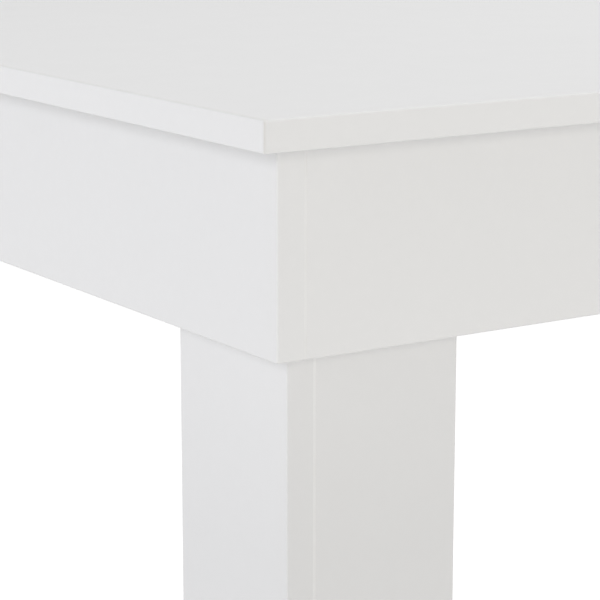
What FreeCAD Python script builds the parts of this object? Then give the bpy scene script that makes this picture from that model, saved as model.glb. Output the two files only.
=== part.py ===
import FreeCAD, Part
import math
import os

# Parsons dining table: a thin square-edged top on a flush apron frame, with four hollow square
# legs that stand inside the corners of the frame. Millimetres. +X runs along the table, +Y runs
# from the front to the back, +Z is up, and the origin is on the floor under the table's middle.

Vec = FreeCAD.Vector

# ---- Driving dimensions ---------------------------------------------------------------------

# Whole table
TABLE_LENGTH = 1400.0
TABLE_WIDTH = 800.0
TABLE_HEIGHT = 750.0

# Top panel
TOP_THICKNESS = 15.0
TOP_OVERHANG = 18.0
TOP_ARRIS = 1.0

# Where a board butts against the one that covers its end, its face edge is cut back by this
SEAM_EASE = 0.8

# Aprons: the end aprons run the full width and cover the ends of the side aprons
APRON_THICKNESS = 15.0
APRON_HEIGHT = 100.0
APRON_CORNER_RADIUS = 1.2
APRON_ARRIS = 0.6

# Saw kerf along the inside of each apron, which the top clips hook into
KERF_DROP = 11.0
KERF_HEIGHT = 2.8
KERF_DEPTH = 8.0

# Hollow legs, each a box of four boards
LEG_WIDTH = 99.0
LEG_BOARD = 15.0
LEG_ARRIS = 0.8
LEG_TOP_BLOCK_HEIGHT = 120.0
LEG_FOOT_BLOCK_HEIGHT = 40.0

# Corner blocks, set across the inside of the frame behind each leg
CORNER_BLOCK_THICKNESS = 28.0
CORNER_BLOCK_HEIGHT = 70.0
CORNER_BLOCK_DROP = 5.0
CORNER_BLOCK_EAR = 18.0
CORNER_BLOCK_EAR_THICKNESS = 12.0
CORNER_BLOCK_ARRIS = 2.0
LEG_TO_BLOCK_GAP = 6.0
SADDLE_WIDTH = 46.0
SADDLE_DEPTH = 5.0

# One hanger bolt to each leg, with a washer and a nut
BOLT_RADIUS = 5.0
BOLT_IN_LEG = 60.0
BOLT_TIP = 9.0
BOLT_PAST_NUT = 6.0
BOLT_LOOSE_FIT = 0.5
BOLT_CLOSE_FIT = 0.06
WASHER_RADIUS = 15.0
WASHER_THICKNESS = 2.5
WASHER_FIT = 0.3
NUT_SIDES = 6
NUT_ACROSS_FLATS = 17.0
NUT_HEIGHT = 8.0
NUT_CHAMFER_ANGLE = 30.0
NUT_FIT = 0.06

# Wood screws, six-sided: plain stand-ins for a threaded shank
SCREW_SIDES = 6
SCREW_RADIUS = 2.0
SCREW_HEAD_RADIUS = 4.2
SCREW_HEAD_HEIGHT = 2.6
SCREW_TIP = 4.0
SCREW_TIP_RADIUS = 0.3
SCREW_FIT = 0.06
SCREW_BITE = 10.5
BLOCK_SCREWS_PER_EAR = 2
BLOCK_SCREW_SPACING = 40.0

# How much deeper a blind hole is than what goes in it
HOLE_END_ROOM = 0.6

# Cross rail under the middle of the top, let into housings in the side aprons
RAIL_THICKNESS = 18.0
RAIL_HEIGHT = 60.0
RAIL_ARRIS = 0.8
RAIL_HOUSING = 5.0

# Hardwood splines in the corners of the frame
SPLINE_THICKNESS = 5.0
SPLINE_HEIGHT = 64.0
SPLINE_IN_FACE = 9.0
SPLINE_IN_END = 18.0
SPLINE_FIT = 0.1

# Bent steel clips that hold the top down
CLIP_THICKNESS = 2.0
CLIP_WIDTH = 28.0
CLIP_TONGUE = 7.0
CLIP_STAND_OFF = 5.0
CLIP_SLOPE = 5.0
CLIP_FOOT = 24.0
CLIP_BEND_RADIUS = 1.5
CLIP_CORNER = 4.0
CLIP_HOLE_FIT = 0.5
CLIP_HOLE_FROM_END = 10.0
CLIPS_PER_HALF_SIDE = 2

# Nail-on glides, a plastic disc moulded onto a nail
GLIDE_RADIUS = 16.0
GLIDE_HEIGHT = 4.0
NAIL_RADIUS = 1.5
NAIL_LENGTH = 15.0
NAIL_TIP = 3.0
NAIL_TIP_RADIUS = 0.3
NAIL_FIT = 0.06

# ---- Sizes that follow from them ------------------------------------------------------------

ROOT_TWO = math.sqrt(2.0)
FULL_TURN = 360
TOLERANCE = 1e-4

# Half sizes of the top, of the frame's outside and of the frame's inside
TOP_HALF_X = TABLE_LENGTH / 2
TOP_HALF_Y = TABLE_WIDTH / 2
FRAME_HALF_X = TOP_HALF_X - TOP_OVERHANG
FRAME_HALF_Y = TOP_HALF_Y - TOP_OVERHANG
INNER_HALF_X = FRAME_HALF_X - APRON_THICKNESS
INNER_HALF_Y = FRAME_HALF_Y - APRON_THICKNESS

# Heights above the floor
TOP_UNDERSIDE = TABLE_HEIGHT - TOP_THICKNESS
APRON_BOTTOM = TOP_UNDERSIDE - APRON_HEIGHT
KERF_TOP = TOP_UNDERSIDE - KERF_DROP
LEG_BOTTOM = GLIDE_HEIGHT
RAIL_BOTTOM = TOP_UNDERSIDE - RAIL_HEIGHT
BLOCK_TOP = TOP_UNDERSIDE - CORNER_BLOCK_DROP
BLOCK_MIDDLE = BLOCK_TOP - CORNER_BLOCK_HEIGHT / 2

# Distances along the corner's diagonal, from the frame's inside corner towards the middle
LEG_ARRIS_AT = LEG_WIDTH * ROOT_TWO
BLOCK_FACE_AT = LEG_ARRIS_AT + LEG_TO_BLOCK_GAP
BLOCK_BACK_AT = BLOCK_FACE_AT + CORNER_BLOCK_THICKNESS
WASHER_BACK_AT = BLOCK_BACK_AT + WASHER_THICKNESS
NUT_BACK_AT = WASHER_BACK_AT + NUT_HEIGHT
BOLT_END_AT = NUT_BACK_AT + BOLT_PAST_NUT
BOLT_TIP_AT = LEG_ARRIS_AT - BOLT_IN_LEG

# How far a corner block's two faces and its ears reach along each apron
BLOCK_FACE_REACH = BLOCK_FACE_AT * ROOT_TWO
BLOCK_BACK_REACH = BLOCK_BACK_AT * ROOT_TWO
EAR_ROOT = BLOCK_BACK_REACH - CORNER_BLOCK_EAR_THICKNESS
BLOCK_REACH = EAR_ROOT + CORNER_BLOCK_EAR
BLOCK_SCREW_AT = EAR_ROOT + CORNER_BLOCK_EAR / 2

CORNERS = {
    "front_left": (-1, -1),
    "front_right": (1, -1),
    "back_left": (-1, 1),
    "back_right": (1, 1),
}


# ---- Helpers --------------------------------------------------------------------------------

def box(x0, x1, y0, y1, z0, z1):
    """A block between two corners."""
    return Part.makeBox(x1 - x0, y1 - y0, z1 - z0, Vec(x0, y0, z0))


def rod(radius, start, end):
    """A plain round rod between two points."""
    run = end - start
    return Part.makeCylinder(radius, run.Length, start, run)


def turned(outline, start, direction):
    """A round piece turned from (radius, height) points, its foot at start, along direction."""
    points = [Vec(radius, 0, height) for radius, height in outline]
    face = Part.Face(Part.makePolygon(points + [points[0]]))
    piece = face.revolve(Vec(0, 0, 0), Vec(0, 0, 1), FULL_TURN)
    piece.Placement = FreeCAD.Placement(start, FreeCAD.Rotation(Vec(0, 0, 1), direction))
    return piece


def faceted(outline, start, direction):
    """A six-sided piece through (radius, height) rings, its foot at start, along direction."""
    corners = [2 * math.pi * side / SCREW_SIDES for side in range(SCREW_SIDES)]
    rings = [[Vec(r * math.cos(a), r * math.sin(a), z) for a in corners] for r, z in outline]
    faces = [Part.Face(Part.makePolygon(ring + [ring[0]])) for ring in (rings[0], rings[-1])]
    for lower, upper in zip(rings, rings[1:]):
        for side in range(SCREW_SIDES):
            after = (side + 1) % SCREW_SIDES
            loop = [lower[side], lower[after], upper[after], upper[side], lower[side]]
            faces.append(Part.Face(Part.makePolygon(loop)))
    shell = Part.makeShell(faces)
    piece = Part.makeSolid(shell)
    if piece.Volume < 0:
        piece.reverse()
    piece.Placement = FreeCAD.Placement(start, FreeCAD.Rotation(Vec(0, 0, 1), direction))
    return piece


def mirrored(piece, side_x, side_y):
    """A piece drawn at the front left corner, mirrored to the corner on the given sides."""
    if side_x > 0:
        piece = piece.mirror(Vec(0, 0, 0), Vec(1, 0, 0))
    if side_y > 0:
        piece = piece.mirror(Vec(0, 0, 0), Vec(0, 1, 0))
    return piece


def at_every_corner(pieces):
    """Copies of the pieces of the front left corner at all four corners."""
    return [mirrored(piece, *sides) for sides in CORNERS.values() for piece in pieces]


def drilled(piece, tools):
    """The piece less every tool, as one solid."""
    return piece.cut(tools).Solids[0]


def edges_through(shape, points):
    """The straight edges of a shape whose line passes through one of the points."""
    found = []
    for edge in shape.Edges:
        for point in points:
            if edge.distToShape(Part.Vertex(point))[0] < TOLERANCE:
                found.append(edge)
                break
    return found


def eased(shape, radius, points):
    """The shape with the edges that pass through the points rounded over."""
    return shape.makeFillet(radius, edges_through(shape, points))


def bevelled(shape, size, points):
    """The shape with the edges that pass through the points cut to a small flat."""
    return shape.makeChamfer(size, edges_through(shape, points))


def evenly(first, last, count):
    """The middles of equal bays between two places."""
    return [first + (last - first) * (number + 0.5) / count for number in range(count)]


def spaced(middle, spacing, count):
    """Places around a middle, a spacing apart."""
    return [middle + spacing * (number - (count - 1) / 2) for number in range(count)]


def corner_point(along_x, along_y, height):
    """A point measured from the inside corner of the frame at the front left."""
    return Vec(along_x - INNER_HALF_X, along_y - INNER_HALF_Y, height)


def diagonal_point(distance, height):
    """A point on the front left corner's diagonal."""
    return corner_point(distance / ROOT_TWO, distance / ROOT_TWO, height)


INWARD = Vec(1, 1, 0).normalize()


# ---- Fasteners ------------------------------------------------------------------------------

def screw(seat, direction, grip):
    """A wood screw whose head bears at seat, through a piece as thick as grip."""
    length = grip + SCREW_BITE
    outline = [
        (SCREW_HEAD_RADIUS, -SCREW_HEAD_HEIGHT),
        (SCREW_HEAD_RADIUS, 0),
        (SCREW_RADIUS, 0),
        (SCREW_RADIUS, length - SCREW_TIP),
        (SCREW_TIP_RADIUS, length),
    ]
    return faceted(outline, seat, direction)


def screw_hole(seat, direction, grip):
    """The hole that a screw turns into."""
    radius = SCREW_RADIUS + SCREW_FIT
    return faceted([(radius, 0), (radius, grip + SCREW_BITE + HOLE_END_ROOM)], seat, direction)


def bolt_hole(fit):
    """A hole along the front left corner's hanger bolt."""
    start = diagonal_point(BOLT_TIP_AT - HOLE_END_ROOM, BLOCK_MIDDLE)
    return rod(BOLT_RADIUS + fit, start, diagonal_point(BOLT_END_AT, BLOCK_MIDDLE))


def block_screw_seats():
    """Seat and direction of the screws through both ears of the front left corner's block."""
    seats = []
    for z in spaced(BLOCK_MIDDLE, BLOCK_SCREW_SPACING, BLOCK_SCREWS_PER_EAR):
        seats.append((corner_point(BLOCK_SCREW_AT, CORNER_BLOCK_EAR_THICKNESS, z), Vec(0, -1, 0)))
        seats.append((corner_point(CORNER_BLOCK_EAR_THICKNESS, BLOCK_SCREW_AT, z), Vec(-1, 0, 0)))
    return seats


def block_screw_holes():
    thickness = CORNER_BLOCK_EAR_THICKNESS
    return [screw_hole(seat, direction, thickness) for seat, direction in block_screw_seats()]


def clip_places():
    """Position on the inner face of an apron, and direction into the table, of each top clip."""
    places = [(Vec(side_x * INNER_HALF_X, 0, 0), Vec(-side_x, 0, 0)) for side_x in (-1, 1)]
    for x in evenly(RAIL_THICKNESS / 2, INNER_HALF_X - BLOCK_REACH, CLIPS_PER_HALF_SIDE):
        for side_x in (-1, 1):
            for side_y in (-1, 1):
                places.append((Vec(side_x * x, side_y * INNER_HALF_Y, 0), Vec(0, -side_y, 0)))
    return places


def clip_foot_end():
    """How far a clip reaches from the apron."""
    return CLIP_STAND_OFF + CLIP_SLOPE + CLIP_FOOT


def clip_screw_seats():
    """Where the heads of the clip screws bear, under each clip's foot."""
    reach = clip_foot_end() - CLIP_HOLE_FROM_END
    height = Vec(0, 0, TOP_UNDERSIDE - CLIP_THICKNESS)
    return [place + inward * reach + height for place, inward in clip_places()]


# ---- Top and frame --------------------------------------------------------------------------

def top_panel():
    top = box(-TOP_HALF_X, TOP_HALF_X, -TOP_HALF_Y, TOP_HALF_Y, TOP_UNDERSIDE, TABLE_HEIGHT)
    rims = []
    for z in (TOP_UNDERSIDE, TABLE_HEIGHT):
        rims += [Vec(x, 0, z) for x in (-TOP_HALF_X, TOP_HALF_X)]
        rims += [Vec(0, y, z) for y in (-TOP_HALF_Y, TOP_HALF_Y)]
    top = eased(top, TOP_ARRIS, rims)
    up = Vec(0, 0, 1)
    return drilled(top, [screw_hole(seat, up, CLIP_THICKNESS) for seat in clip_screw_seats()])


def kerf(x0, x1, y0, y1):
    """The saw kerf over a rectangle in plan."""
    return box(x0, x1, y0, y1, KERF_TOP - KERF_HEIGHT, KERF_TOP)


def frame_spline(fit):
    """The spline in the front left corner of the frame, or with a fit, the groove for it."""
    middle_y = APRON_THICKNESS / 2 - FRAME_HALF_Y
    middle_z = TOP_UNDERSIDE - APRON_HEIGHT / 2
    half_y = SPLINE_THICKNESS / 2 + fit
    half_z = SPLINE_HEIGHT / 2 + fit
    deep = -INNER_HALF_X - SPLINE_IN_FACE - fit
    shallow = -INNER_HALF_X + SPLINE_IN_END + fit
    return box(deep, shallow, middle_y - half_y, middle_y + half_y, middle_z - half_z, middle_z + half_z)


def corner_cuts():
    """What the front left corner's joints cut out of the aprons."""
    return [frame_spline(SPLINE_FIT)] + block_screw_holes()


def cross_rail():
    """The rail under the middle of the top, its ends let into both side aprons."""
    half = RAIL_THICKNESS / 2
    reach = INNER_HALF_Y + RAIL_HOUSING
    rail = box(-half, half, -reach, reach, RAIL_BOTTOM, TOP_UNDERSIDE)
    return eased(rail, RAIL_ARRIS, [Vec(x, 0, RAIL_BOTTOM) for x in (-half, half)])


def side_apron(side_y):
    """One of the two long aprons, at the front (-1) or the back (1)."""
    low, high = sorted([side_y * FRAME_HALF_Y, side_y * INNER_HALF_Y])
    apron = box(-INNER_HALF_X, INNER_HALF_X, low, high, APRON_BOTTOM, TOP_UNDERSIDE)
    apron = bevelled(apron, APRON_ARRIS, [Vec(0, y, APRON_BOTTOM) for y in (low, high)])
    middle = TOP_UNDERSIDE - APRON_HEIGHT / 2
    seams = [Vec(x, side_y * FRAME_HALF_Y, middle) for x in (-INNER_HALF_X, INNER_HALF_X)]
    apron = bevelled(apron, SEAM_EASE, seams)
    low, high = sorted([side_y * INNER_HALF_Y, side_y * (INNER_HALF_Y + KERF_DEPTH)])
    tools = [kerf(-INNER_HALF_X, INNER_HALF_X, low, high), cross_rail()]
    for side_x in (-1, 1):
        tools += [mirrored(tool, side_x, side_y) for tool in corner_cuts()]
    return drilled(apron, tools)


def end_apron(side_x):
    """One of the two short aprons, at the left (-1) or the right (1)."""
    outer = side_x * FRAME_HALF_X
    low, high = sorted([outer, side_x * INNER_HALF_X])
    apron = box(low, high, -FRAME_HALF_Y, FRAME_HALF_Y, APRON_BOTTOM, TOP_UNDERSIDE)
    middle = TOP_UNDERSIDE - APRON_HEIGHT / 2
    outer_corners = [Vec(outer, y, middle) for y in (-FRAME_HALF_Y, FRAME_HALF_Y)]
    apron = eased(apron, APRON_CORNER_RADIUS, outer_corners)
    apron = bevelled(apron, APRON_ARRIS, [Vec(x, 0, APRON_BOTTOM) for x in (low, high)])
    low, high = sorted([side_x * INNER_HALF_X, side_x * (INNER_HALF_X + KERF_DEPTH)])
    tools = [kerf(low, high, -INNER_HALF_Y, INNER_HALF_Y)]
    for side_y in (-1, 1):
        tools += [mirrored(tool, side_x, side_y) for tool in corner_cuts()]
    return drilled(apron, tools)


# ---- Legs -----------------------------------------------------------------------------------

def leg_board(x0, x1, y0, y1, seams):
    """One upright board of the front left leg, its corners rounded and its seams cut back."""
    low = corner_point(x0, y0, LEG_BOTTOM)
    high = corner_point(x1, y1, TOP_UNDERSIDE)
    board = box(low.x, high.x, low.y, high.y, low.z, high.z)
    middle = (LEG_BOTTOM + TOP_UNDERSIDE) / 2
    leg_corners = [corner_point(x, y, middle) for x in (0, LEG_WIDTH) for y in (0, LEG_WIDTH)]
    if edges_through(board, leg_corners):
        board = eased(board, LEG_ARRIS, leg_corners)
    if seams:
        board = bevelled(board, SEAM_EASE, [corner_point(x, y, middle) for x, y in seams])
    return drilled(board, [bolt_hole(BOLT_LOOSE_FIT)])


def leg_boards():
    """The four boards of a leg: each outer board covers the edge of the next one inwards."""
    near = LEG_BOARD
    far = LEG_WIDTH - LEG_BOARD
    wide = LEG_WIDTH
    return {
        "end_board": leg_board(0, near, 0, wide, []),
        "side_board": leg_board(near, wide, 0, near, [(near, 0)]),
        "inner_end_board": leg_board(far, wide, near, wide, [(wide, near)]),
        "inner_side_board": leg_board(near, far, far, wide, [(near, wide), (far, wide)]),
    }


def leg_filler(z0, z1):
    """A softwood block that fills a leg's hollow between two heights."""
    low = corner_point(LEG_BOARD, LEG_BOARD, z0)
    high = corner_point(LEG_WIDTH - LEG_BOARD, LEG_WIDTH - LEG_BOARD, z1)
    return box(low.x, high.x, low.y, high.y, low.z, high.z)


def leg_top_block():
    block = leg_filler(TOP_UNDERSIDE - LEG_TOP_BLOCK_HEIGHT, TOP_UNDERSIDE)
    return drilled(block, [bolt_hole(BOLT_CLOSE_FIT)])


def leg_foot_block():
    block = leg_filler(LEG_BOTTOM, LEG_BOTTOM + LEG_FOOT_BLOCK_HEIGHT)
    radius = NAIL_RADIUS + NAIL_FIT
    hole = [(radius, 0), (radius, NAIL_LENGTH + HOLE_END_ROOM)]
    return drilled(block, [faceted(hole, glide_centre(LEG_BOTTOM), Vec(0, 0, 1))])


def glide_centre(height):
    return corner_point(LEG_WIDTH / 2, LEG_WIDTH / 2, height)


def glide():
    """A round plastic foot moulded onto the nail that holds it."""
    foot = Part.makeCylinder(GLIDE_RADIUS, GLIDE_HEIGHT, glide_centre(0))
    nail = [(NAIL_RADIUS, 0), (NAIL_RADIUS, NAIL_LENGTH - NAIL_TIP), (NAIL_TIP_RADIUS, NAIL_LENGTH)]
    return foot.fuse(faceted(nail, glide_centre(GLIDE_HEIGHT), Vec(0, 0, 1)))


# ---- Corner joint ---------------------------------------------------------------------------

def corner_block():
    """A block across the corner: an ear flat on each apron, and a saddle behind the leg."""
    ear = CORNER_BLOCK_EAR_THICKNESS
    saddle_from = (BLOCK_FACE_REACH + SADDLE_WIDTH / ROOT_TWO) / 2
    saddle_to = (BLOCK_FACE_REACH - SADDLE_WIDTH / ROOT_TWO) / 2
    saddle_flat = SADDLE_DEPTH * ROOT_TWO
    outline = [
        (BLOCK_FACE_REACH, 0),
        (BLOCK_REACH, 0),
        (BLOCK_REACH, ear),
        (EAR_ROOT, ear),
        (ear, EAR_ROOT),
        (ear, BLOCK_REACH),
        (0, BLOCK_REACH),
        (0, BLOCK_FACE_REACH),
        (saddle_to, saddle_from),
        (saddle_to + saddle_flat, saddle_from),
        (saddle_from, saddle_to + saddle_flat),
        (saddle_from, saddle_to),
    ]
    bottom = BLOCK_TOP - CORNER_BLOCK_HEIGHT
    points = [corner_point(x, y, bottom) for x, y in outline]
    block = Part.Face(Part.makePolygon(points + [points[0]])).extrude(Vec(0, 0, CORNER_BLOCK_HEIGHT))
    back_edges = [diagonal_point(BLOCK_BACK_AT, z) for z in (bottom, BLOCK_TOP)]
    block = bevelled(block, CORNER_BLOCK_ARRIS, back_edges)
    return drilled(block, [bolt_hole(BOLT_LOOSE_FIT)] + block_screw_holes())


def hanger_bolt():
    """A bolt with a machine thread at the nut's end and a pointed wood thread in the leg."""
    length = BOLT_END_AT - BOLT_TIP_AT
    outline = [
        (0, 0),
        (BOLT_RADIUS, BOLT_TIP),
        (BOLT_RADIUS, length),
        (0, length),
    ]
    return turned(outline, diagonal_point(BOLT_TIP_AT, BLOCK_MIDDLE), INWARD)


def hanger_washer():
    start = diagonal_point(BLOCK_BACK_AT, BLOCK_MIDDLE)
    end = diagonal_point(WASHER_BACK_AT, BLOCK_MIDDLE)
    return rod(WASHER_RADIUS, start, end).cut(rod(BOLT_RADIUS + WASHER_FIT, start, end))


def hanger_nut():
    """A hexagon nut with its corners turned down on the outer face."""
    flat = NUT_ACROSS_FLATS / 2
    corner = flat / math.cos(math.pi / NUT_SIDES)
    angles = [2 * math.pi * side / NUT_SIDES for side in range(NUT_SIDES)]
    points = [Vec(corner * math.cos(a), corner * math.sin(a), 0) for a in angles]
    prism = Part.Face(Part.makePolygon(points + [points[0]])).extrude(Vec(0, 0, NUT_HEIGHT))
    drop = (corner - flat) * math.tan(math.radians(NUT_CHAMFER_ANGLE))
    outline = [
        (0, 0),
        (corner, 0),
        (corner, NUT_HEIGHT - drop),
        (flat, NUT_HEIGHT),
        (0, NUT_HEIGHT),
    ]
    nut = prism.common(turned(outline, Vec(0, 0, 0), Vec(0, 0, 1)))
    nut = nut.cut(Part.makeCylinder(BOLT_RADIUS + NUT_FIT, NUT_HEIGHT))
    turn = FreeCAD.Rotation(Vec(0, 0, 1), INWARD)
    nut.Placement = FreeCAD.Placement(diagonal_point(WASHER_BACK_AT, BLOCK_MIDDLE), turn)
    return nut


# ---- Top clips ------------------------------------------------------------------------------

def clip_blank():
    """A bent clip on an apron's face at the origin, reaching along +Y, under a top at height 0."""
    start = -CLIP_TONGUE
    low = -KERF_DROP
    knee = CLIP_STAND_OFF
    shoulder = CLIP_STAND_OFF + CLIP_SLOPE
    end = clip_foot_end()
    slope = math.atan2(KERF_DROP, CLIP_SLOPE)
    shift = CLIP_THICKNESS * math.tan(slope / 2)
    outline = [
        (start, low),
        (knee, low),
        (shoulder, 0),
        (end, 0),
        (end, -CLIP_THICKNESS),
        (shoulder + shift, -CLIP_THICKNESS),
        (knee + shift, low - CLIP_THICKNESS),
        (start, low - CLIP_THICKNESS),
    ]
    half = CLIP_WIDTH / 2
    points = [Vec(-half, y, z) for y, z in outline]
    clip = Part.Face(Part.makePolygon(points + [points[0]])).extrude(Vec(CLIP_WIDTH, 0, 0))
    inside = CLIP_BEND_RADIUS
    outside = CLIP_BEND_RADIUS + CLIP_THICKNESS
    clip = eased(clip, inside, [Vec(0, knee, low), Vec(0, shoulder + shift, -CLIP_THICKNESS)])
    clip = eased(clip, outside, [Vec(0, shoulder, 0), Vec(0, knee + shift, low - CLIP_THICKNESS)])
    foot_corners = [Vec(x, end, -CLIP_THICKNESS / 2) for x in (-half, half)]
    clip = bevelled(clip, CLIP_CORNER, foot_corners)
    radius = SCREW_RADIUS + CLIP_HOLE_FIT
    hole = [(radius, 0), (radius, CLIP_THICKNESS)]
    hole_at = Vec(0, end - CLIP_HOLE_FROM_END, -CLIP_THICKNESS)
    return drilled(clip, [faceted(hole, hole_at, Vec(0, 0, 1))])


def top_clips():
    blank = clip_blank()
    clips = []
    for place, inward in clip_places():
        clip = blank.copy()
        turn = FreeCAD.Rotation(Vec(0, 1, 0), inward)
        clip.Placement = FreeCAD.Placement(place + Vec(0, 0, TOP_UNDERSIDE), turn)
        clips.append(clip)
    return clips


# ---- The whole table ------------------------------------------------------------------------

def single_nodes():
    """Every piece that has a node of its own."""
    nodes = {
        "top_panel": top_panel(),
        "front_apron": side_apron(-1),
        "back_apron": side_apron(1),
        "left_end_apron": end_apron(-1),
        "right_end_apron": end_apron(1),
        "cross_rail": cross_rail(),
    }
    drawn = {"leg_" + name: board for name, board in leg_boards().items()}
    drawn["leg_top_block"] = leg_top_block()
    drawn["leg_foot_block"] = leg_foot_block()
    drawn["corner_block"] = corner_block()
    for corner, sides in CORNERS.items():
        for name, piece in drawn.items():
            nodes[name + "_" + corner] = mirrored(piece, *sides)
    return nodes


def group_nodes():
    """Identical small pieces, each kind a group of separate solids."""
    up = Vec(0, 0, 1)
    ear = CORNER_BLOCK_EAR_THICKNESS
    block_screws = [screw(seat, direction, ear) for seat, direction in block_screw_seats()]
    return {
        "hanger_bolts": at_every_corner([hanger_bolt()]),
        "hanger_washers": at_every_corner([hanger_washer()]),
        "hanger_nuts": at_every_corner([hanger_nut()]),
        "corner_block_screws": at_every_corner(block_screws),
        "frame_splines": at_every_corner([frame_spline(0)]),
        "top_clips": top_clips(),
        "top_clip_screws": [screw(seat, up, CLIP_THICKNESS) for seat in clip_screw_seats()],
        "glides": at_every_corner([glide()]),
    }


os.makedirs("parts", exist_ok=True)
for name, piece in single_nodes().items():
    piece.exportStep("parts/" + name + ".step")
for name, pieces in group_nodes().items():
    Part.makeCompound(pieces).exportStep("parts/" + name + ".step")
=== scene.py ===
import math

import bmesh
import bpy
from mathutils import Matrix, Vector


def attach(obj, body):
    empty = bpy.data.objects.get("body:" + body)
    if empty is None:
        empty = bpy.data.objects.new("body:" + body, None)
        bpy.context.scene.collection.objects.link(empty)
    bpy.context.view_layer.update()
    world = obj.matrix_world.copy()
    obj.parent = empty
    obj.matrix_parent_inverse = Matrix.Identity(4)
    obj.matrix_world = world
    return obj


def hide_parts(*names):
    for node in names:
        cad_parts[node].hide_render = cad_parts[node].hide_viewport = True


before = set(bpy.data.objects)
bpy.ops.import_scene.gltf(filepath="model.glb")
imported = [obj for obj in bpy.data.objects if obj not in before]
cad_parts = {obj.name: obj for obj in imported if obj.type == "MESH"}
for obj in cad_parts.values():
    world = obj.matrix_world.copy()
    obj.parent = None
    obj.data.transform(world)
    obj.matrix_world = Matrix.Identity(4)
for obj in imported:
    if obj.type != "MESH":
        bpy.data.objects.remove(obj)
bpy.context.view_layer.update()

# White parsons dining table. Metres, in the frame of the solids: +X along the table, +Z up.

MM = 0.001
SQRT2 = math.sqrt(2)
TURN = 2 * math.pi
QUARTER_TURN = TURN / 4

# Sizes and places of the solids, which the pieces below have to fit
TABLE_HEIGHT = 750 * MM
TOP_UNDERSIDE = 735 * MM
TOP_HALF_X, TOP_HALF_Y = 700 * MM, 400 * MM
FRAME_X, FRAME_Y = 682 * MM, 382 * MM    # the aprons' outer faces
INSIDE_X, INSIDE_Y = 667 * MM, 367 * MM  # the aprons' inner faces, and the legs' outer ones
APRON_BOTTOM = 635 * MM
APRON_ARRIS = 0.6 * MM
LEG_WIDTH = 99 * MM
LEG_BOTTOM = 4 * MM
BOARD = 15 * MM

# The bolt in each corner. What ends in _AT lies on the corner's diagonal, that far from the
# aprons' inside corner.
BOLT_Z = 695 * MM
BOLT_IN_LEG = 60 * MM
LEG_TO_BLOCK_GAP = 6 * MM
BLOCK_THICKNESS = 28 * MM
WASHER_THICKNESS = 2.5 * MM
NUT_HEIGHT = 8 * MM
BOLT_PAST_NUT = 6 * MM
BLOCK_BACK_AT = LEG_WIDTH * SQRT2 + LEG_TO_BLOCK_GAP + BLOCK_THICKNESS
BOLT_TIP_AT = LEG_WIDTH * SQRT2 - BOLT_IN_LEG
BOLT_LENGTH = BLOCK_BACK_AT + WASHER_THICKNESS + NUT_HEIGHT + BOLT_PAST_NUT - BOLT_TIP_AT

# The screws through the block's ears: how far along an apron, and how far over and under the bolt
EAR_THICKNESS = 12 * MM
EAR_LENGTH = 18 * MM
BLOCK_SCREW_ALONG = BLOCK_BACK_AT * SQRT2 - EAR_THICKNESS + EAR_LENGTH / 2
BLOCK_SCREW_RISE = 20 * MM

CORNERS = {
    "front_left": (-1, -1),
    "front_right": (1, -1),
    "back_left": (-1, 1),
    "back_right": (1, 1),
}


# ---- Shader helpers ---------------------------------------------------------------------------

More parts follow.
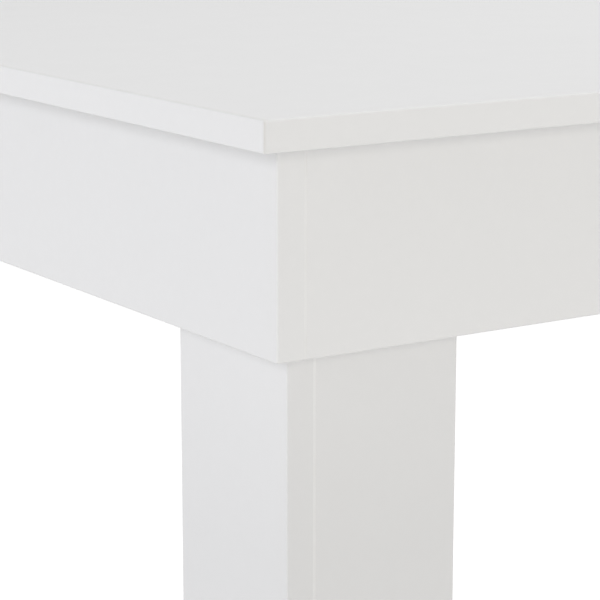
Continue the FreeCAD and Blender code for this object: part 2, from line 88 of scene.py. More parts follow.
class Shader:
    """A node material, with short calls to add and link its nodes."""

    def __init__(self, name):
        self.material = bpy.data.materials.get(name) or bpy.data.materials.new(name)
        self.material.use_nodes = True
        self.tree = self.material.node_tree
        self.tree.nodes.clear()
        self.out = self.add("ShaderNodeOutputMaterial")
        self.coords = self.add("ShaderNodeTexCoord").outputs["Object"]

    def add(self, kind, **values):
        """A new node; a value is a property of the node, or else goes into the socket it names."""
        node = self.tree.nodes.new(kind)
        for key, value in values.items():
            if hasattr(node, key):
                setattr(node, key, value)
            else:
                self.put(node, key.replace("_", " "), value)
        return node

    def put(self, node, key, value):
        """Links a socket to an input, or sets the input to a plain value."""
        socket = node.inputs[key]
        if isinstance(value, bpy.types.NodeSocket):
            self.tree.links.new(value, socket)
        else:
            socket.default_value = value

    def math(self, operation, a, b=0.0):
        node = self.add("ShaderNodeMath", operation=operation)
        self.put(node, 0, a)
        self.put(node, 1, b)
        return node.outputs[0]

    def vector(self, operation, a, b, output="Vector"):
        node = self.add("ShaderNodeVectorMath", operation=operation)
        self.put(node, 0, a)
        self.put(node, 1, b)
        return node.outputs[output]

    def split(self, vector):
        """The outputs X, Y and Z of a vector."""
        return self.add("ShaderNodeSeparateXYZ", Vector=vector).outputs

    def noise(self, scale, detail=2.0, roughness=0.5, vector=None):
        node = self.add("ShaderNodeTexNoise", Scale=scale, Detail=detail, Roughness=roughness)
        self.put(node, "Vector", vector or self.coords)
        return node.outputs["Fac"]

    def spread(self, value, low, high, to_low, to_high):
        """A value mapped from one range to another, and held inside it."""
        node = self.add("ShaderNodeMapRange", clamp=True)
        self.put(node, "Value", value)
        self.put(node, "From Min", low)
        self.put(node, "From Max", high)
        self.put(node, "To Min", to_low)
        self.put(node, "To Max", to_high)
        return node.outputs["Result"]

    def ramp(self, value, stops):
        """A colour from a list of places and colours."""
        node = self.add("ShaderNodeValToRGB")
        self.put(node, "Fac", value)
        ramp = node.color_ramp
        while len(ramp.elements) < len(stops):
            ramp.elements.new(0.5)
        for element, (place, colour) in zip(ramp.elements, stops):
            element.position = place
            element.color = (*colour, 1.0)
        return node.outputs["Color"]

    def mix(self, factor, a, b, blend="MIX"):
        """A mix of two colours; a factor of 1 gives the second."""
        node = self.add("ShaderNodeMix", data_type="RGBA", blend_type=blend)
        for index, value in ((0, factor), (6, a), (7, b)):
            if isinstance(value, tuple):
                value = (*value, 1.0)
            self.put(node, index, value)
        return node.outputs[2]

    def bump(self, height, distance, strength=1.0, normal=None):
        node = self.add("ShaderNodeBump", Strength=strength, Distance=distance)
        self.put(node, "Height", height)
        if normal:
            self.put(node, "Normal", normal)
        return node.outputs["Normal"]

    def edges(self, radius):
        """1 on an arris and 0 away from it, from how far the rounded normal leans over."""
        rounded = self.add("ShaderNodeBevel", samples=6, Radius=radius).outputs["Normal"]
        plain = self.add("ShaderNodeNewGeometry").outputs["Normal"]
        lean = self.vector("DOT_PRODUCT", rounded, plain, "Value")
        return self.spread(lean, 0.995, 0.75, 0.0, 1.0)

    def finish(self, **values):
        """The finished material: a principled surface with these inputs."""
        principled = self.add("ShaderNodeBsdfPrincipled")
        for key, value in values.items():
            if isinstance(value, tuple):
                value = (*value, 1.0)
            self.put(principled, key.replace("_", " "), value)
        self.tree.links.new(principled.outputs[0], self.out.inputs["Surface"])
        return self.material


# ---- Materials --------------------------------------------------------------------------------

WHITE_LOW, WHITE_HIGH = (0.798, 0.798, 0.798), (0.806, 0.806, 0.806)
WHITE_SPECK = (0.792, 0.792, 0.792)
WHITE_WORN_AND_DARK_ARRIS = (0.70, 0.69, 0.665)
# Painted shade: the lacquer is made darker down the legs in two steps, for light that falls
# off towards the floor: from a height, down to a height, its tone there
LEG_PAINTED_SHADE = ((APRON_BOTTOM, 530 * MM, 0.928), (530 * MM, 250 * MM, 0.945))


def white_lacquer(name, tone=1.0, y_facing_painted_tone=None, dark_arrises=None):
    """Satin white lacquer: near even, with a faint orange peel and slightly thin arrises.

    The tone facing Y is painted light and shade: surfaces that face along Y are made a little
    lighter or darker, for how light falls on them. A darker line along some arrises is given by a
    function that masks it.
    """
    s = Shader(name)
    colour = s.mix(s.spread(s.noise(2.2, 3.0), 0.3, 0.7, 0.0, 1.0), WHITE_LOW, WHITE_HIGH)
    colour = s.mix(s.spread(s.noise(170.0), 0.35, 0.65, 0.0, 0.5), colour, WHITE_SPECK)
    # Painted light and shade: surfaces facing along Y get a tone of their own
    if y_facing_painted_tone:
        facing = s.split(s.add("ShaderNodeTexCoord").outputs["Normal"])
        tone = s.spread(s.math("ABSOLUTE", facing["Y"]), 0.3, 0.9, tone, y_facing_painted_tone)
    # Painted shade: darker down the legs by height, for light falling off towards the floor
    height = s.split(s.coords)["Z"]
    steps = [s.spread(height, lower, upper, shade_tone, 1.0) for upper, lower, shade_tone in LEG_PAINTED_SHADE]
    tone = s.math("MULTIPLY", s.math("MULTIPLY", *steps), tone)
    colour = s.mix(1.0, colour, tone, "MULTIPLY")
    patches = s.spread(s.noise(60.0, 4.0), 0.42, 0.7, 0.05, 0.4)
    wear_and_dark_arrises = s.math("MULTIPLY", s.edges(1.2 * MM), patches)
    # A darker line along the arrises that the given function masks, on top of the wear
    if dark_arrises:
        wear_and_dark_arrises = s.math("MAXIMUM", wear_and_dark_arrises, dark_arrises(s))
    colour = s.mix(wear_and_dark_arrises, colour, WHITE_WORN_AND_DARK_ARRIS)
    rough = s.spread(s.noise(38.0, 4.0), 0.3, 0.7, 0.42, 0.48)
    rough = s.math("ADD", rough, s.math("MULTIPLY", wear_and_dark_arrises, 0.15))
    peel = s.bump(s.noise(420.0), 0.02 * MM, 0.1)
    nib = s.bump(s.noise(1900.0, 1.0), 0.005 * MM, 0.15, peel)
    return s.finish(Base_Color=colour, Roughness=rough, Normal=nib, IOR=1.48)


def dark_end_arrises(s):
    """A darker line along the upper and upright arrises of the top's two ends."""
    place = s.split(s.coords)
    along, across = s.math("ABSOLUTE", place["X"]), s.math("ABSOLUTE", place["Y"])

    def near(value, edge, reach):
        return s.spread(value, edge - reach * MM, edge, 0.0, 1.0)

    upper = s.math("MULTIPLY", near(along, TOP_HALF_X, 3.4), near(place["Z"], TABLE_HEIGHT, 0.7))
    upright = s.math("MULTIPLY", near(along, TOP_HALF_X, 1.6), near(across, TOP_HALF_Y, 1.6))
    line = s.math("MAXIMUM", upper, upright)
    return s.math("MULTIPLY", line, s.spread(s.noise(60.0, 4.0), 0.35, 0.65, 0.42, 0.62))


def toned(colour, share):
    """A colour made paler by a share over 1, or darker by one under 1."""
    return tuple(part * share for part in colour)


def wood(name, light, dark, ring_scale, turn):
    """Planed bare wood whose grain runs along a local X axis; turn maps object space to it."""
    s = Shader(name)
    place = s.add("ShaderNodeMapping", vector_type="TEXTURE").outputs[0]
    s.put(place.node, "Vector", s.coords)
    s.put(place.node, "Rotation", turn)
    # The pattern is drawn out along the grain, and its rings lie round a heart to one side
    grain = s.vector("MULTIPLY", place, (0.06, 1.0, 1.0))
    from_heart = s.vector("ADD", grain, (0.0, 0.043, 0.061))
    rings = s.add("ShaderNodeTexWave", wave_type="RINGS", rings_direction="X", wave_profile="SAW")
    s.put(rings, "Vector", from_heart)
    s.put(rings, "Scale", ring_scale)
    s.put(rings, "Distortion", 7.5)
    s.put(rings, "Detail", 3.0)
    s.put(rings, "Detail Scale", 0.4)
    # Each ring darkens slowly to its late wood, and ends in a crisp line
    age = rings.outputs["Fac"]
    late = s.math("MULTIPLY", s.math("POWER", age, 2.2), s.spread(age, 0.9, 1.0, 1.0, 0.0))
    fibre = s.noise(1.0, 3.0, 0.6, s.vector("MULTIPLY", place, (14.0, 900.0, 900.0)))
    clouds = s.spread(s.noise(9.0, vector=grain), 0.3, 0.7, 0.0, 1.0)
    colour = s.mix(clouds, light, toned(light, 1.06))
    colour = s.mix(s.math("MULTIPLY", late, 0.55), colour, dark)
    colour = s.mix(s.spread(fibre, 0.5, 0.8, 0.0, 0.35), colour, toned(dark, 0.8))
    colour = s.mix(s.math("MULTIPLY", s.edges(1.2 * MM), 0.35), colour, toned(light, 0.75))
    rough = s.spread(fibre, 0.3, 0.7, 0.62, 0.78)
    ridges = s.bump(late, 0.2 * MM, 0.35, s.bump(fibre, 0.12 * MM, 0.5))
    return s.finish(Base_Color=colour, Roughness=rough, Normal=ridges)


def zinc():
    """Bright zinc plate: silver with a faint blue and straw cast, dull specks and fine lines."""
    s = Shader("zinc_plated_steel_bright")
    blue, silver, straw = (0.66, 0.69, 0.74), (0.74, 0.75, 0.76), (0.77, 0.75, 0.68)
    cast = s.ramp(s.noise(45.0, 3.0), [(0.3, blue), (0.55, silver), (0.8, straw)])
    dull = s.spread(s.noise(260.0, 4.0, 0.65), 0.55, 0.72, 0.0, 0.5)
    colour = s.mix(dull, cast, (0.50, 0.51, 0.52))
    colour = s.mix(s.math("MULTIPLY", s.edges(0.5 * MM), 0.5), colour, (0.86, 0.86, 0.86))
    rough = s.spread(s.noise(700.0, 3.0), 0.3, 0.7, 0.2, 0.34)
    rough = s.math("ADD", rough, s.math("MULTIPLY", dull, 0.4))
    lines = s.noise(1.0, 3.0, 0.6, s.vector("MULTIPLY", s.coords, (2600.0, 500.0, 260.0)))
    fine = s.bump(lines, 0.02 * MM, 0.3)
    return s.finish(Base_Color=colour, Roughness=rough, Metallic=1.0, Normal=fine)


def glide_plastic():
    """Off-white moulded plastic, a little scuffed."""
    s = Shader("glide_plastic_moulded")
    clouds = s.spread(s.noise(90.0, 3.0), 0.3, 0.7, 0.0, 1.0)
    colour = s.mix(clouds, (0.74, 0.735, 0.70), (0.80, 0.795, 0.77))
    streaks = s.noise(1.0, 4.0, 0.7, s.vector("MULTIPLY", s.coords, (160.0, 1300.0, 300.0)))
    scuff = s.spread(streaks, 0.58, 0.75, 0.0, 0.6)
    colour = s.mix(scuff, colour, (0.55, 0.545, 0.52))
    rough = s.math("ADD", 0.42, s.math("MULTIPLY", scuff, 0.35))
    fine = s.bump(s.noise(2200.0), 0.02 * MM, 0.4)
    return s.finish(Base_Color=colour, Roughness=rough, Normal=s.bump(scuff, -0.04 * MM, 0.5, fine))


PINE_LIGHT, PINE_DARK = (0.70, 0.52, 0.31), (0.52, 0.31, 0.14)
BEECH_LIGHT, BEECH_DARK = (0.60, 0.41, 0.27), (0.47, 0.29, 0.17)
UPRIGHT = (0.0, QUARTER_TURN, 0.0)
DIAGONAL = QUARTER_TURN / 2
lacquer = white_lacquer("white_lacquer_satin")
# Painted light and shade: the legs' end boards are made paler and their side boards darker than the
# plain lacquer, for how light falls on them; the top is made a little paler
top_lacquer_painted_light = white_lacquer("white_lacquer_top_painted_light", 1.02, y_facing_painted_tone=1.006, dark_arrises=dark_end_arrises)
end_lacquer_painted_light = white_lacquer("white_lacquer_leg_ends_painted_light", 1.012, y_facing_painted_tone=0.968)
side_lacquer_painted_shade = white_lacquer("white_lacquer_leg_sides_painted_shade", 0.975)
# Painted highlight: the lacquer over the seams is made paler, as a light line along each joint
seam_lacquer_painted_highlight = white_lacquer("white_lacquer_seam_painted_highlight", 1.03)
metal = zinc()
plastic = glide_plastic()
pine_upright = wood("softwood_upright", PINE_LIGHT, PINE_DARK, 64.0, UPRIGHT)
pine_across = {
    1: wood("softwood_rising", PINE_LIGHT, PINE_DARK, 70.0, (0.0, 0.0, DIAGONAL)),
    -1: wood("softwood_falling", PINE_LIGHT, PINE_DARK, 70.0, (0.0, 0.0, -DIAGONAL)),
}
beech = wood("beech_upright", BEECH_LIGHT, BEECH_DARK, 120.0, UPRIGHT)

FINISHES = (
    ("top_panel", top_lacquer_painted_light),
    ("leg_side_board", side_lacquer_painted_shade),
    ("leg_end_board", end_lacquer_painted_light),
    ("leg_top_block", pine_upright),
    ("leg_foot_block", pine_upright),
    ("corner_block_screws", metal),
    ("hanger_", metal),
    ("top_clip", metal),
    ("frame_splines", beech),
    ("glides", plastic),
)


def finish_of(node_name):
    """The material of a node of the solids, by how its name starts.

    The grain of a corner block runs across its corner.
    """
    for start, material in FINISHES:
        if node_name.startswith(start):
            return material
    if node_name.startswith("corner_block_"):
        side_x, side_y = CORNERS[node_name[len("corner_block_"):]]
        return pine_across[-side_x * side_y]
    return lacquer


def dress(piece, material):
    """Gives a piece one material, in place of what it has."""
    piece.data.materials.clear()
    piece.data.materials.append(material)


for node_name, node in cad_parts.items():
    dress(node, finish_of(node_name))


# ---- Small steel and plastic pieces, drawn in millimetres ---------------------------------------

def ring(radius, height, segments):
    """A level ring of points; radius and height may be functions of the angle."""
    points = []
    for number in range(segments):
        angle = TURN * number / segments
        r = radius(angle) if callable(radius) else radius
        z = height(angle) if callable(height) else height
        points.append((r * math.cos(angle) * MM, r * math.sin(angle) * MM, z * MM))
    return points


def skin(name, rings, closed=False, smooth=35):
    """A mesh through rings of points: a torus when closed, and otherwise capped at both ends."""
    count = len(rings[0])
    points = [point for loop in rings for point in loop]
    faces = []
    pairs = [(n, n + 1) for n in range(len(rings) - 1)]
    if closed:
        pairs.append((len(rings) - 1, 0))
    for low, high in pairs:
        for n in range(count):
            after = (n + 1) % count
            faces.append((low * count + n, low * count + after,
                          high * count + after, high * count + n))
    if not closed:
        for loop, backwards in ((0, True), (len(rings) - 1, False)):
            middle = sum((Vector(p) for p in rings[loop]), Vector()) / count
            points.append(tuple(middle))
            for n in range(count):
                pair = (loop * count + n, loop * count + (n + 1) % count)
                faces.append((*(reversed(pair) if backwards else pair), len(points) - 1))
    return finished_mesh(name, points, faces, smooth)


def finished_mesh(name, points, faces, smooth):
    """A mesh with its normals outwards and its edges sharp where they turn by more than smooth."""
    mesh = bpy.data.meshes.new(name)
    mesh.from_pydata(points, [], faces)
    work = bmesh.new()
    work.from_mesh(mesh)
    bmesh.ops.recalc_face_normals(work, faces=work.faces)
    work.to_mesh(mesh)
    work.free()
    mesh.shade_smooth()
    mesh.set_sharp_from_angle(angle=math.radians(smooth))
    return mesh


def thread(core, crest, pitch, sharpness):
    """The radius of a screw thread, as a function of angle and height."""
    def radius(angle, height):
        phase = (height / pitch - angle / TURN) % 1.0
        rise = max(0.0, 1.0 - abs(phase - 0.5) * sharpness)
        return core + (crest - core) * rise
    return radius


def threaded_rings(profile, low, high, step, segments, taper):
    """Rings along a thread between two heights, thinned by a taper that depends on the height."""
    count = max(2, round((high - low) / step))
    made = []
    for number in range(count + 1):
        z = low + (high - low) * number / count
        thin = taper(z)
        made.append(ring(lambda angle: profile(angle, z) * thin, z, segments))
    return made


def wood_screw(name, length):
    """A pan-head screw with a cross recess: its head is below height 0 and its point at length."""
    segments = 32
    head, neck, head_height = 4.2, 1.95, 2.6
    crown, crown_rise, crown_rings = 3.4, 0.42, 26
    rim = ((3.75, -1.95), (4.05, -1.5), (head, -0.95), (head, -0.25), (4.05, 0.0), (neck, 0.0))
    arm_reach, wall = 2.3, 0.07
    cut = thread(core=1.35, crest=1.98, pitch=1.7, sharpness=3.2)

    def half_arm(reach):
        """Half the width of an arm of the cross recess, at a distance from its middle."""
        return 0.62 - 0.12 * reach

    def recess(x, y):
        """How deep the cross recess is at a place on the head."""
        reach = max(abs(x), abs(y))
        across = min(abs(x), abs(y))
        if reach > arm_reach:
            return 0.0
        edge = min(1.0, max(0.0, 0.5 + (half_arm(reach) - across) / (2 * wall)))
        return edge * (1.55 - 0.42 * reach)

    def arm_angles(r):
        """Angles of a ring's points, which follow the walls of the four arms out to their ends."""
        if r > arm_reach + 0.15:
            return [TURN * number / segments for number in range(segments)]
        inner, outer = (math.asin(min(0.68, (half_arm(r) + side * wall) / r)) for side in (-1, 1))
        eighth = TURN / 8
        steps = (0.0, inner, outer, (outer + eighth) / 2, eighth)
        quarter = list(steps) + [QUARTER_TURN - angle for angle in steps[3:0:-1]]
        return [angle + QUARTER_TURN * arm for arm in range(4) for angle in quarter]

    def pointed(z):
        """Thins the thread to its point over the last 4 mm."""
        return min(1.0, max(0.04, (length - z) / 4.0))

    rings = []
    for step in range(crown_rings):
        r = 0.05 + (crown - 0.05) * step / (crown_rings - 1)
        dome = -head_height + crown_rise * (r / crown) ** 2
        loop = []
        for angle in arm_angles(r):
            x, y = r * math.cos(angle), r * math.sin(angle)
            loop.append((x * MM, y * MM, (dome + recess(x, y)) * MM))
        rings.append(loop)
    rings += [ring(r, z, segments) for r, z in rim]
    neck_end, thread_start = min(1.6, length * 0.15), min(2.4, length * 0.2)
    rings.append(ring(neck, neck_end, segments))
    rings += threaded_rings(cut, thread_start, length, 0.28, segments, pointed)
    return skin(name, rings)


def hanger_bolt(name):
    """A bolt with a wood thread to a point at height 0 and a machine thread at the other end."""
    segments = 32
    shank = 4.6
    wood_end, shank_start, shank_end, steel_start = 52.0, 53.0, 60.0, 61.0
    length = BOLT_LENGTH / MM
    coarse = thread(core=3.7, crest=4.95, pitch=4.0, sharpness=2.6)
    fine = thread(core=4.15, crest=4.98, pitch=1.5, sharpness=2.0)

    def pointed(z):
        """Thins the wood thread to its point."""
        return min(1.0, 0.06 + z / 9.0)

    def chamfered(z):
        """Thins the machine thread a little at its end."""
        return min(1.0, 0.86 + (length - z) / 9.0)

    rings = threaded_rings(coarse, 0.0, wood_end, 0.5, segments, pointed)
    rings += [ring(shank, shank_start, segments), ring(shank, shank_end, segments)]
    rings += threaded_rings(fine, steel_start, length, 0.19, segments, chamfered)
    return skin(name, rings)


def hanger_washer(name):
    """A flat washer with eased edges, its underside at height 0."""
    bore, rim = 5.3, 15.0
    thick = WASHER_THICKNESS / MM
    outline = ((bore, 0.25), (bore + 0.25, 0.0), (rim - 0.4, 0.0), (rim, 0.35),
               (rim, thick - 0.5), (rim - 0.5, thick), (bore + 0.5, thick), (bore, thick - 0.35))
    return skin(name, [ring(r, z, 64) for r, z in outline], closed=True)


def hanger_nut(name):
    """A hexagon nut with both ends chamfered and the bore countersunk."""
    half, bore, countersink = 8.5, 5.02, 5.6
    flat = half * 0.97
    height = NUT_HEIGHT / MM
    slope = math.tan(math.radians(30))
    sixth = TURN / 6
    segments = 72

    def hexagon(angle):
        return half / math.cos(angle % sixth - sixth / 2)

    def lower(angle):
        return (hexagon(angle) - flat) * slope

    def upper(angle):
        return height - lower(angle)

    outline = ((bore, 0.6), (countersink, 0.0), (flat, 0.0), (hexagon, lower),
               (hexagon, upper), (flat, height), (countersink, height), (bore, height - 0.6))
    return skin(name, [ring(r, z, segments) for r, z in outline], closed=True, smooth=25)


def glide(name):
    """A plastic foot with a rounded rim, a shallow dimple below and its nail above."""
    flat, rounding, steps = 14.4, 1.6, 5
    rim, nail = flat + rounding, 1.5
    leg = LEG_BOTTOM / MM
    outline = [(0.3, 0.35), (2.4, 0.35), (2.9, 0.0), (flat, 0.0)]
    for step in range(1, steps + 1):
        angle = QUARTER_TURN * step / steps
        outline.append((flat + rounding * math.sin(angle), rounding * (1 - math.cos(angle))))
    outline += [(rim, leg - 0.5), (rim - 0.4, leg), (nail, leg), (nail, 16.0), (0.3, 19.0)]
    return skin(name, [ring(r, z, 64) for r, z in outline])


CLIP_STEEL = 2.0
CLIP_HOLE_ALONG = 24.0
# The middle of the clip's steel, as (along, up): from its end in the kerf, through the two bends,
# to its end under the top
CLIP_BENDS = ((-7.0, -12.0), (5.35, -12.0), (10.35, -1.0), (34.0, -1.0))


def clip_path():
    """Points (along, up) down the middle of the bent strip, with small arcs at the bends."""
    corners = [Vector(corner) for corner in CLIP_BENDS]
    bend, longest = 2.6, 1.2
    path = [corners[0]]
    for before, corner, after in zip(corners, corners[1:], corners[2:]):
        into, out = (corner - before).normalized(), (after - corner).normalized()
        back = bend * math.tan(into.angle(out) / 2)
        start, end = corner - into * back, corner + out * back
        for step in range(7):
            share = step / 6
            path.append(start.lerp(corner, share).lerp(corner.lerp(end, share), share))
    path.append(corners[-1])
    fine = []
    for a, b in zip(path, path[1:]):
        pieces = max(1, round((b - a).length / longest))
        fine += [a.lerp(b, n / pieces) for n in range(pieces)]
    return fine + [path[-1]]


def clip_blank():
    """The bent strip with its corners rounded, still without its hole or eased edges.

    The end in the kerf is cut back into the rounding of its corners, which leaves it squarer.
    """
    path = clip_path()
    half_width, corner, cut_back = 14.0, 4.0, 2.5
    lengths = [0.0]
    for a, b in zip(path, path[1:]):
        lengths.append(lengths[-1] + (b - a).length)
    across = [n / 10 for n in range(-10, 11)]
    rows, columns = len(path), len(across)
    points = []
    for side in (1, -1):
        for n, point in enumerate(path):
            run = (path[min(n + 1, rows - 1)] - path[max(n - 1, 0)]).normalized()
            place = point + Vector((-run.y, run.x)) * side * CLIP_STEEL / 2
            near = corner - min(lengths[n] + cut_back, lengths[-1] - lengths[n], corner)
            width = half_width - corner + math.sqrt(max(0.0, corner ** 2 - near ** 2))
            points += [(width * t * MM, place.x * MM, place.y * MM) for t in across]

    def at(side, row, column):
        return (side * rows + row) * columns + column

    faces = []
    for row in range(rows - 1):
        for column in range(columns - 1):
            for side in (0, 1):
                faces.append((at(side, row, column), at(side, row, column + 1),
                              at(side, row + 1, column + 1), at(side, row + 1, column)))
        for column in (0, columns - 1):
            faces.append((at(0, row, column), at(0, row + 1, column),
                          at(1, row + 1, column), at(1, row, column)))
    for row in (0, rows - 1):
        for column in range(columns - 1):
            faces.append((at(0, row, column), at(0, row, column + 1),
                          at(1, row, column + 1), at(1, row, column)))
    return finished_mesh("blank", points, faces, 35)


def top_clip(name):
    """A bent steel strip that reaches along +Y from an apron's face, under a top at height 0."""
    hole, below, above = 2.6, -6.0, 4.0
    blank = bpy.data.objects.new("blank", clip_blank())
    drill_mesh = skin("drill", [ring(hole, below, 40), ring(hole, above, 40)])
    drill = bpy.data.objects.new("drill", drill_mesh)
    drill.location = (0.0, CLIP_HOLE_ALONG * MM, 0.0)
    for made in (blank, drill):
        bpy.context.scene.collection.objects.link(made)
    cut = blank.modifiers.new("cut", "BOOLEAN")
    cut.object = drill
    cut.solver = "EXACT"
    ease = blank.modifiers.new("ease", "BEVEL")
    ease.width = 0.25 * MM
    ease.segments = 2
    ease.limit_method = "ANGLE"
    ease.angle_limit = math.radians(50)
    graph = bpy.context.evaluated_depsgraph_get()
    mesh = bpy.data.meshes.new_from_object(blank.evaluated_get(graph))
    mesh.name = name
    mesh.shade_smooth()
    mesh.set_sharp_from_angle(angle=math.radians(40))
    for made in (blank, drill):
        bpy.data.objects.remove(made)
    return mesh


# ---- Fitting them to the table ------------------------------------------------------------------

# Along the long aprons from the middle, in millimetres
CLIP_X = {"inner": 110.479, "outer": 313.438}


def aimed(place, direction, spin=0.0):
    """A matrix that puts local +Z along a direction."""
    turn = Vector(direction).to_track_quat("Z", "Y").to_matrix().to_4x4()
    return Matrix.Translation(place) @ turn @ Matrix.Rotation(spin, 4, "Z")


def settle(name, mesh, matrix, material, node):
    """Puts a piece in its place, on the table's one body, in place of a node of the solids."""
    if not mesh.materials:
        mesh.materials.append(material)
    piece = bpy.data.objects.new(name, mesh)
    bpy.context.scene.collection.objects.link(piece)
    piece.matrix_world = matrix
    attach(piece, "root")
    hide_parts(node)


def settle_steel(name, mesh, matrix, node):
    settle(name, mesh, matrix, metal, node)


def diagonal(side_x, side_y, distance, height):
    """A point on a corner's diagonal, measured inwards from the inside corner of the frame."""
    along = distance / SQRT2
    return Vector((side_x * (INSIDE_X - along), side_y * (INSIDE_Y - along), height))


def fit_corner(corner, side_x, side_y, spin):
    """A corner's bolt, washer, nut, four block screws and glide.

    The spin is a different angle at each corner, so that no two nuts or recesses line up.
    """
    inward = Vector((-side_x, -side_y, 0)).normalized()
    tip = diagonal(side_x, side_y, BOLT_TIP_AT, BOLT_Z)
    seat = diagonal(side_x, side_y, BLOCK_BACK_AT, BOLT_Z)
    nut_seat = seat + inward * WASHER_THICKNESS
    settle_steel("hanger_bolt_" + corner, bolt_mesh, aimed(tip, inward), "hanger_bolts")
    settle_steel("hanger_washer_" + corner, washer_mesh, aimed(seat, inward, spin),
                 "hanger_washers")
    settle_steel("hanger_nut_" + corner, nut_mesh, aimed(nut_seat, inward, spin), "hanger_nuts")
    middle = LEG_WIDTH / 2
    foot = Vector((side_x * (INSIDE_X - middle), side_y * (INSIDE_Y - middle), 0.0))
    settle("glide_" + corner, glide_mesh, Matrix.Translation(foot) @ Matrix.Rotation(spin, 4, "Z"),
           plastic, "glides")
    ear_x, ear_y = INSIDE_X - EAR_THICKNESS, INSIDE_Y - EAR_THICKNESS
    for level, way in (("low", -1), ("high", 1)):
        height = BOLT_Z + way * BLOCK_SCREW_RISE
        on_side = (side_x * (INSIDE_X - BLOCK_SCREW_ALONG), side_y * ear_y, height)
        on_end = (side_x * ear_x, side_y * (INSIDE_Y - BLOCK_SCREW_ALONG), height)
        settle_steel(f"block_screw_side_{level}_{corner}", block_screw_mesh,
                     aimed(on_side, (0, side_y, 0), spin + 1.0 * way), "corner_block_screws")
        settle_steel(f"block_screw_end_{level}_{corner}", block_screw_mesh,
                     aimed(on_end, (side_x, 0, 0), 2 * spin + 1.4 * way), "corner_block_screws")


def fit_clip(name, place, inward, spin):
    """A top clip on an apron's inner face, and the screw up through its foot."""
    side = Vector((inward[1], -inward[0], 0.0))
    turn = Matrix((side, Vector(inward), Vector((0, 0, 1)))).transposed().to_4x4()
    settle_steel("top_clip_" + name, clip_mesh, Matrix.Translation(place) @ turn, "top_clips")
    hole = Vector(inward) * CLIP_HOLE_ALONG * MM
    seat = Vector(place) + hole - Vector((0, 0, CLIP_STEEL * MM))
    settle_steel("top_clip_screw_" + name, clip_screw_mesh, aimed(seat, (0, 0, 1), spin),
                 "top_clip_screws")


block_screw_mesh = wood_screw("block_screw", 22.5)
clip_screw_mesh = wood_screw("clip_screw", 12.5)
bolt_mesh = hanger_bolt("hanger_bolt")
washer_mesh = hanger_washer("hanger_washer")
nut_mesh = hanger_nut("hanger_nut")
glide_mesh = glide("glide")
clip_mesh = top_clip("top_clip")
for number, (corner, (side_x, side_y)) in enumerate(CORNERS.items()):
    fit_corner(corner, side_x, side_y, 0.4 + 1.3 * number)
for side_x, end in ((-1, "left"), (1, "right")):
    fit_clip(end, (side_x * INSIDE_X, 0.0, TOP_UNDERSIDE), (-side_x, 0.0, 0.0), 0.5 * side_x)
    for side_y, side in ((-1, "front"), (1, "back")):
        # A clip's place in millimetres also serves as the spin of its screw, in radians
        for reach, x in CLIP_X.items():
            place = (side_x * x * MM, side_y * INSIDE_Y, TOP_UNDERSIDE)
            fit_clip(f"{side}_{end}_{reach}", place, (0.0, -side_y, 0.0), x * side_x)


# ---- Filled seams -------------------------------------------------------------------------------

# Across the seam (from the covering board on) and out of the face, in millimetres: a low ridge
# over the groove
SEAM_OUTLINE = ((-0.4, 0.0), (-0.15, 0.05), (0.45, 0.09), (0.9, 0.05),
                (1.3, 0.0), (0.7, -0.12), (0.05, -0.7))


def seam(name, place, across, out, low, high):
    """The filler and paint over a butt joint, which stand a little proud of both boards."""
    across, out, place = Vector(across), Vector(out), Vector(place)
    points = []
    for height in (low, high):
        for u, v in SEAM_OUTLINE:
            points.append(place + across * u * MM + out * v * MM + Vector((0, 0, height)))
    count = len(SEAM_OUTLINE)
    faces = [(n, (n + 1) % count, count + (n + 1) % count, count + n) for n in range(count)]
    faces += [tuple(reversed(range(count))), tuple(range(count, 2 * count))]
    mesh = finished_mesh(name, points, faces, 30)
    # Its lacquer is paler: a painted highlight along the joint
    mesh.materials.append(seam_lacquer_painted_highlight)
    piece = bpy.data.objects.new(name, mesh)
    bpy.context.scene.collection.objects.link(piece)
    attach(piece, "root")


under_apron = APRON_BOTTOM + APRON_ARRIS
for corner, (side_x, side_y) in CORNERS.items():
    inwards_x, inwards_y, outwards_y = (-side_x, 0, 0), (0, -side_y, 0), (0, side_y, 0)
    seam("apron_seam_" + corner, (side_x * INSIDE_X, side_y * FRAME_Y, 0),
         inwards_x, outwards_y, under_apron, TOP_UNDERSIDE)
    near_x, near_y = INSIDE_X - BOARD, INSIDE_Y - BOARD
    far_x, far_y = INSIDE_X - LEG_WIDTH, INSIDE_Y - LEG_WIDTH
    leg_seams = (
        ("outer", (near_x, INSIDE_Y), inwards_x, outwards_y, under_apron),
        ("inner", (far_x, near_y), inwards_y, inwards_x, TOP_UNDERSIDE),
        ("back", (near_x, far_y), inwards_x, inwards_y, TOP_UNDERSIDE),
        ("behind", (far_x + BOARD, far_y), (side_x, 0, 0), inwards_y, TOP_UNDERSIDE),
    )
    for which, (x, y), across, out, high in leg_seams:
        seam(f"leg_seam_{which}_{corner}", (side_x * x, side_y * y, 0), across, out,
             LEG_BOTTOM, high)


# ---- Floor, light and camera ------------------------------------------------------------------

def plane(name, half, height):
    """A level square; half is half its side."""
    mesh = bpy.data.meshes.new(name)
    corners = [(-half, -half, height), (half, -half, height),
               (half, half, height), (-half, half, height)]
    mesh.from_pydata(corners, [], [(0, 1, 2, 3)])
    made = bpy.data.objects.new(name, mesh)
    bpy.context.scene.collection.objects.link(made)
    return made


def seen_ray(s):
    """1 for rays that show the background: straight from the camera, mirrored or refracted."""
    rays = s.add("ShaderNodeLightPath").outputs
    seen = s.math("MAXIMUM", rays["Is Camera Ray"], rays["Is Glossy Ray"])
    return s.math("MAXIMUM", seen, rays["Is Transmission Ray"])


FLOOR_LIFT = 0.45


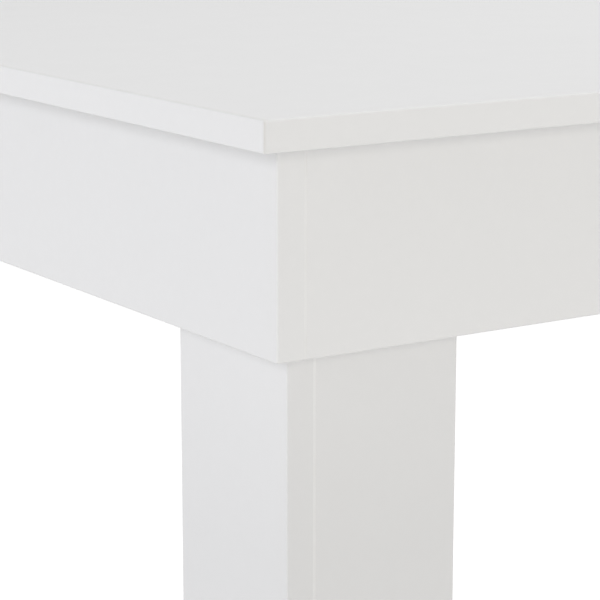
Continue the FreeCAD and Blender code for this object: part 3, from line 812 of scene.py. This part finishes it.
def floor_paint():
    """Pale floor, lifted by a glow where it is seen, and clear from below."""
    s = Shader("floor_pale")
    diffuse = s.add("ShaderNodeBsdfDiffuse", Color=(0.88, 0.88, 0.88, 1.0))
    glow = s.add("ShaderNodeEmission", Color=(1.0, 1.0, 1.0, 1.0))
    s.put(glow, "Strength", s.math("MULTIPLY", seen_ray(s), FLOOR_LIFT))
    both = s.add("ShaderNodeAddShader")
    s.put(both, 0, diffuse.outputs[0])
    s.put(both, 1, glow.outputs[0])
    clear = s.add("ShaderNodeBsdfTransparent")
    above = s.add("ShaderNodeMixShader")
    s.put(above, 0, s.add("ShaderNodeNewGeometry").outputs["Backfacing"])
    s.put(above, 1, both.outputs[0])
    s.put(above, 2, clear.outputs[0])
    s.tree.links.new(above.outputs[0], s.out.inputs["Surface"])
    return s.material


floor = plane("floor", 30.0, 0.0)
dress(floor, floor_paint())

# The background is pale grey where it is seen, and lights the table a little less than that
WORLD_STRENGTH = 0.72
world = bpy.data.worlds.new("studio")
bpy.context.scene.world = world
world.use_nodes = True
tree = world.node_tree
tree.nodes.clear()
rays = tree.nodes.new("ShaderNodeLightPath")
seen = tree.nodes.new("ShaderNodeMath")
seen.operation = "MAXIMUM"
tree.links.new(rays.outputs["Is Camera Ray"], seen.inputs[0])
tree.links.new(rays.outputs["Is Glossy Ray"], seen.inputs[1])
strength = tree.nodes.new("ShaderNodeMapRange")
tree.links.new(seen.outputs[0], strength.inputs["Value"])
strength.inputs["To Min"].default_value = WORLD_STRENGTH
strength.inputs["To Max"].default_value = 1.0
background = tree.nodes.new("ShaderNodeBackground")
tree.links.new(strength.outputs["Result"], background.inputs["Strength"])
world_out = tree.nodes.new("ShaderNodeOutputWorld")
tree.links.new(background.outputs[0], world_out.inputs["Surface"])


def softbox(name, place, target, width, height, power, colour):
    """A large flat lamp that shines from a place towards a target, and isn't itself seen."""
    lamp = bpy.data.lights.new(name, "AREA")
    lamp.shape = "RECTANGLE"
    lamp.size = width
    lamp.size_y = height
    lamp.energy = power
    lamp.color = colour
    made = bpy.data.objects.new(name, lamp)
    bpy.context.scene.collection.objects.link(made)
    made.location = place
    made.rotation_euler = (Vector(target) - Vector(place)).to_track_quat("-Z", "Y").to_euler()
    made.visible_camera = False
    made.visible_glossy = False


# Name, place, target, width, height, power and colour
LAMPS = (
    ("softbox_left", (-3.3, 0.0, 1.68), (-0.7, 0.0, 0.74), 2.4, 1.3, 29.7, (0.960, 0.963, 1.0)),
    ("softbox_front", (0.0, -3.0, 1.36), (0.0, -0.4, 0.74), 2.8, 1.14, 21.5, (1.0, 0.963, 0.890)),
    ("softbox_top", (0.6, -0.4, 2.8), (0.6, -0.4, 0.75), 1.2, 0.9, 16.0, (1.0, 1.0, 1.0)),
)
for lamp in LAMPS:
    softbox(*lamp)

# The camera was fitted to the table's edges in the photograph: its focal length in pixels, its
# turn from +Y towards +X, its tilt down and its roll, in radians
FRAME_PIXELS = 600
FOCAL_PIXELS = 2214.35
YAW, PITCH, ROLL = 0.5789, 0.2130, 0.0004
CAMERA_PLACE = Vector((-1.20797, -1.20583, 0.87651))
SENSOR_WIDTH = 36.0
camera_data = bpy.data.cameras.new("camera")
camera = bpy.data.objects.new("camera", camera_data)
bpy.context.scene.collection.objects.link(camera)
bpy.context.scene.camera = camera
camera_data.sensor_fit = "HORIZONTAL"
camera_data.sensor_width = SENSOR_WIDTH
camera_data.lens = FOCAL_PIXELS * SENSOR_WIDTH / FRAME_PIXELS
camera_data.clip_start = 0.05
camera_data.clip_end = 200.0
ahead = Vector((math.sin(YAW) * math.cos(PITCH), math.cos(YAW) * math.cos(PITCH), -math.sin(PITCH)))
level = Vector((math.cos(YAW), -math.sin(YAW), 0.0))
upright = level.cross(ahead)
right = level * math.cos(ROLL) + upright * math.sin(ROLL)
up = upright * math.cos(ROLL) - level * math.sin(ROLL)
turn = Matrix((right, up, -ahead)).transposed()
camera.matrix_world = Matrix.Translation(CAMERA_PLACE) @ turn.to_4x4()

bpy.context.scene.view_settings.view_transform = "Standard"
